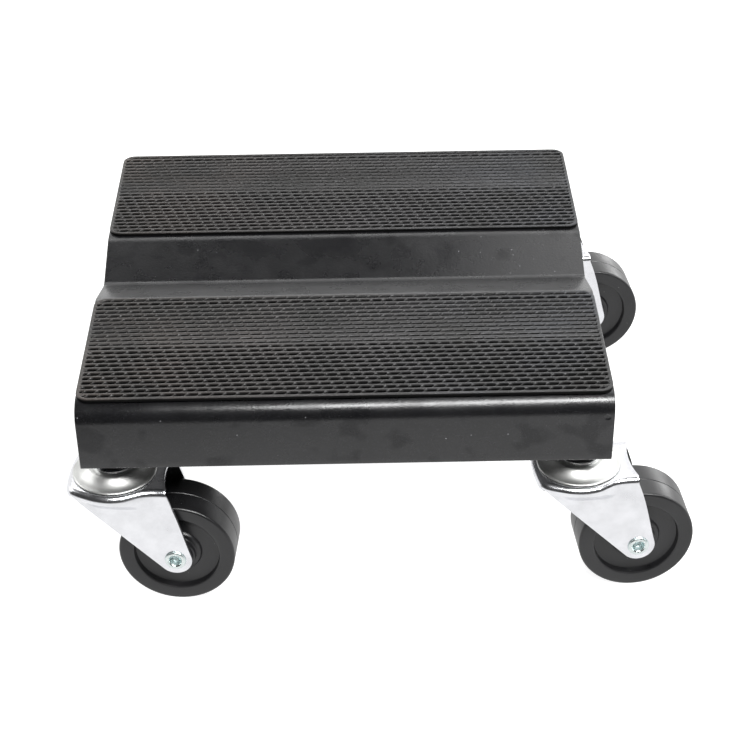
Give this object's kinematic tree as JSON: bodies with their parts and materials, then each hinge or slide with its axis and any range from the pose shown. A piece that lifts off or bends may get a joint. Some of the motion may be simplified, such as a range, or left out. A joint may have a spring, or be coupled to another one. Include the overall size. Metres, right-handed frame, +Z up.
{
  "type": "wheel dolly",
  "caption": "Low square steel dolly with a shallow V cradle between two rubber-padded plateaus, rolling on a swivel caster under each corner.",
  "frame": {"origin": "on the floor, under the middle of the whole dolly's bounding box", "axes": "+Z up, +X along the V cradle to the right, where the casters trail, +Y to the rear across the V"},
  "size_m": [0.3367, 0.2782, 0.1364],
  "materials": {
    "deck_powder_coat": "semi-gloss black powder coat",
    "rail_powder_coat": "semi-gloss black powder coat",
    "pad_rubber": "moulded black rubber with a staggered diamond pattern",
    "bright_zinc": "bright zinc-plated pressed steel",
    "rivet_zinc": "zinc-plated, rolled over",
    "zinc_fasteners": "zinc-plated turned steel",
    "dark_nuts": "dark oiled steel",
    "bearing_steel": "polished hardened steel with a film of grease",
    "bush_steel": "plain drawn steel tube",
    "wheel_rubber": "hard moulded black rubber, satin"
  },
  "bodies": {
    "deck": {"deck_plate": "deck_powder_coat", "pad_front": "pad_rubber", "pad_rear": "pad_rubber", "rail_left": "rail_powder_coat", "rail_right": "rail_powder_coat", "spacer_washers": "zinc_fasteners", "spacer_nuts": "dark_nuts", "lock_washers": "zinc_fasteners", "stem_nuts": "zinc_fasteners", "stem_front_left": "zinc_fasteners", "upper_cup_front_left": "bright_zinc", "lower_cup_front_left": "bright_zinc", "stem_front_right": "zinc_fasteners", "upper_cup_front_right": "bright_zinc", "lower_cup_front_right": "bright_zinc", "stem_rear_left": "zinc_fasteners", "upper_cup_rear_left": "bright_zinc", "lower_cup_rear_left": "bright_zinc", "stem_rear_right": "zinc_fasteners", "upper_cup_rear_right": "bright_zinc", "lower_cup_rear_right": "bright_zinc"},
    "swivel_front_left": {"fork_front_left": "bright_zinc", "axle_rivet_front_left": "rivet_zinc", "thrust_washers_front_left": "zinc_fasteners", "upper_balls_front_left": "bearing_steel", "lower_balls_front_left": "bearing_steel"},
    "roller_front_left": {"wheel_front_left": "wheel_rubber", "wheel_bush_front_left": "bush_steel"},
    "swivel_front_right": {"fork_front_right": "bright_zinc", "axle_rivet_front_right": "rivet_zinc", "thrust_washers_front_right": "zinc_fasteners", "upper_balls_front_right": "bearing_steel", "lower_balls_front_right": "bearing_steel"},
    "roller_front_right": {"wheel_front_right": "wheel_rubber", "wheel_bush_front_right": "bush_steel"},
    "swivel_rear_left": {"fork_rear_left": "bright_zinc", "axle_rivet_rear_left": "rivet_zinc", "thrust_washers_rear_left": "zinc_fasteners", "upper_balls_rear_left": "bearing_steel", "lower_balls_rear_left": "bearing_steel"},
    "roller_rear_left": {"wheel_rear_left": "wheel_rubber", "wheel_bush_rear_left": "bush_steel"},
    "swivel_rear_right": {"fork_rear_right": "bright_zinc", "axle_rivet_rear_right": "rivet_zinc", "thrust_washers_rear_right": "zinc_fasteners", "upper_balls_rear_right": "bearing_steel", "lower_balls_rear_right": "bearing_steel"},
    "roller_rear_right": {"wheel_rear_right": "wheel_rubber", "wheel_bush_rear_right": "bush_steel"}
  },
  "joints": [
    {"name": "swivel_front_left", "type": "hinge", "parent": "deck", "child": "swivel_front_left", "pos_m": [-0.14327, -0.1141, 0.072], "axis": [0, 0, 1], "continuous": true},
    {"name": "roll_front_left", "type": "hinge", "parent": "swivel_front_left", "child": "roller_front_left", "pos_m": [-0.11155, -0.11637, 0.0315], "axis": [0.0715, 0.9974, 0], "continuous": true},
    {"name": "swivel_front_right", "type": "hinge", "parent": "deck", "child": "swivel_front_right", "pos_m": [0.10413, -0.1141, 0.072], "axis": [0, 0, 1], "continuous": true},
    {"name": "roll_front_right", "type": "hinge", "parent": "swivel_front_right", "child": "roller_front_right", "pos_m": [0.13584, -0.11166, 0.0315], "axis": [-0.0767, 0.9971, 0], "continuous": true},
    {"name": "swivel_rear_left", "type": "hinge", "parent": "deck", "child": "swivel_rear_left", "pos_m": [-0.14327, 0.1141, 0.072], "axis": [0, 0, 1], "continuous": true},
    {"name": "roll_rear_left", "type": "hinge", "parent": "swivel_rear_left", "child": "roller_rear_left", "pos_m": [-0.11149, 0.11299, 0.0315], "axis": [0.0349, 0.9994, 0], "continuous": true},
    {"name": "swivel_rear_right", "type": "hinge", "parent": "deck", "child": "swivel_rear_right", "pos_m": [0.10413, 0.1141, 0.072], "axis": [0, 0, 1], "continuous": true},
    {"name": "roll_rear_right", "type": "hinge", "parent": "swivel_rear_right", "child": "roller_rear_right", "pos_m": [0.13579, 0.11709, 0.0315], "axis": [-0.0941, 0.9956, 0], "continuous": true}
  ]
}
